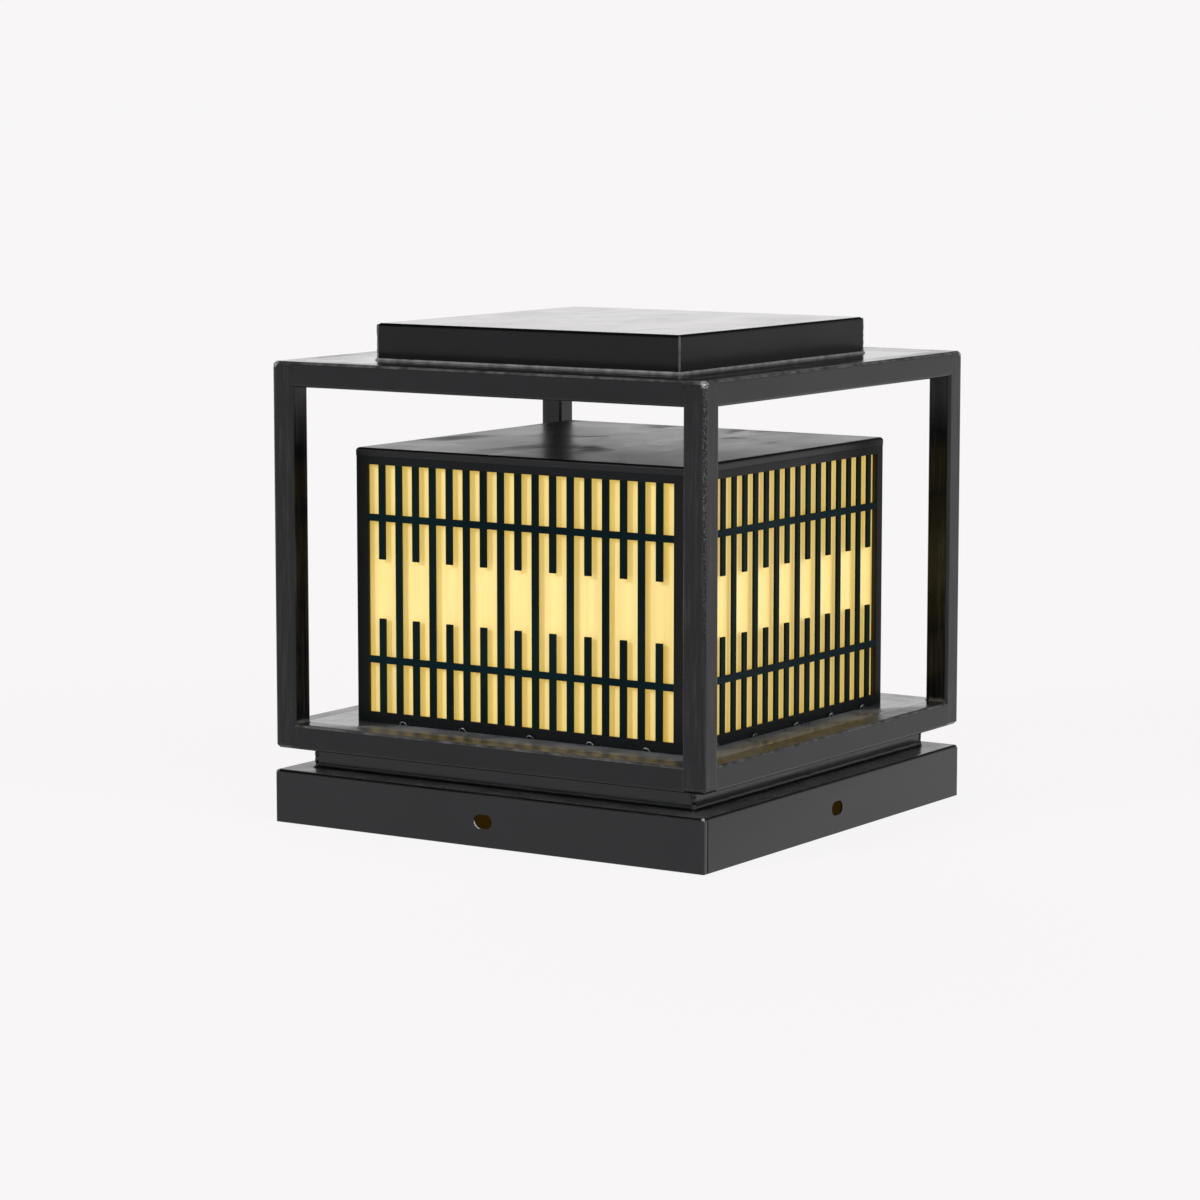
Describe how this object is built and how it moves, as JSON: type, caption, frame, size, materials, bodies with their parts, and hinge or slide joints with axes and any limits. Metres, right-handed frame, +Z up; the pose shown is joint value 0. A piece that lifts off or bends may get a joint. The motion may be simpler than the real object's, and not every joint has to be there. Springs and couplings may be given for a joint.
{
  "type": "outdoor post light",
  "caption": "Square pillar-top garden light: lattice lantern with warm translucent panels inside an open black tube cage, with a stepped cap and a skirt that fits over a pillar.",
  "frame": {"origin": "centre of the square lower rim of the skirt", "axes": "+Z up along the lamp's axis, -Y towards the front panel, +X towards the right panel"},
  "size_m": [0.3, 0.3, 0.2975],
  "materials": {
    "frame_paint": "satin black paint on welded square tube",
    "sheet_paint": "semi-gloss black paint on folded sheet steel",
    "lantern_paint": "satin black paint on laser-cut sheet steel",
    "diffuser_sheet": "warm cream translucent acrylic",
    "seal_foam": "matt black closed-cell foam strip",
    "zinc_steel": "bright zinc-plated steel",
    "porcelain": "opaque white glazed porcelain",
    "brass": "plain pressed brass",
    "lamp_cap_metal": "plated screw cap",
    "lamp_housing": "white moulded plastic",
    "opal_cover": "opal white plastic",
    "lamp_insulation": "black insulating compound"
  },
  "bodies": {
    "fixture": {"base_skirt": "sheet_paint", "bottom_rail_back": "frame_paint", "bottom_rail_front": "frame_paint", "bottom_rail_left": "frame_paint", "bottom_rail_right": "frame_paint", "diffuser_back": "diffuser_sheet", "diffuser_front": "diffuser_sheet", "diffuser_gasket_back": "seal_foam", "diffuser_gasket_front": "seal_foam", "diffuser_gasket_left": "seal_foam", "diffuser_gasket_right": "seal_foam", "diffuser_left": "diffuser_sheet", "diffuser_right": "diffuser_sheet", "floor_plate": "sheet_paint", "gear_plate": "zinc_steel", "grille_back": "lantern_paint", "grille_front": "lantern_paint", "grille_left": "lantern_paint", "grille_right": "lantern_paint", "lampholder_body": "porcelain", "lampholder_contact": "brass", "lampholder_shell": "brass", "lantern_lid": "lantern_paint", "neck_rail_back": "sheet_paint", "neck_rail_front": "sheet_paint", "neck_rail_left": "sheet_paint", "neck_rail_right": "sheet_paint", "post_back_left": "frame_paint", "post_back_right": "frame_paint", "post_end_plates": "frame_paint", "post_front_left": "frame_paint", "post_front_right": "frame_paint", "roof_plate": "sheet_paint", "top_cap": "sheet_paint", "top_rail_back": "frame_paint", "top_rail_front": "frame_paint", "top_rail_left": "frame_paint", "top_rail_right": "frame_paint"},
    "lamp": {"lamp_body": "lamp_housing", "lamp_cap": "lamp_cap_metal", "lamp_cover": "opal_cover", "lamp_insulator": "lamp_insulation", "lamp_tip_contact": "brass"}
  },
  "joints": [
    {"name": "lamp_unscrew", "type": "hinge", "parent": "fixture", "child": "lamp", "pos_m": [0, 0, 0.074], "axis": [0, 0, 1], "range_deg": [0, 900]}
  ]
}
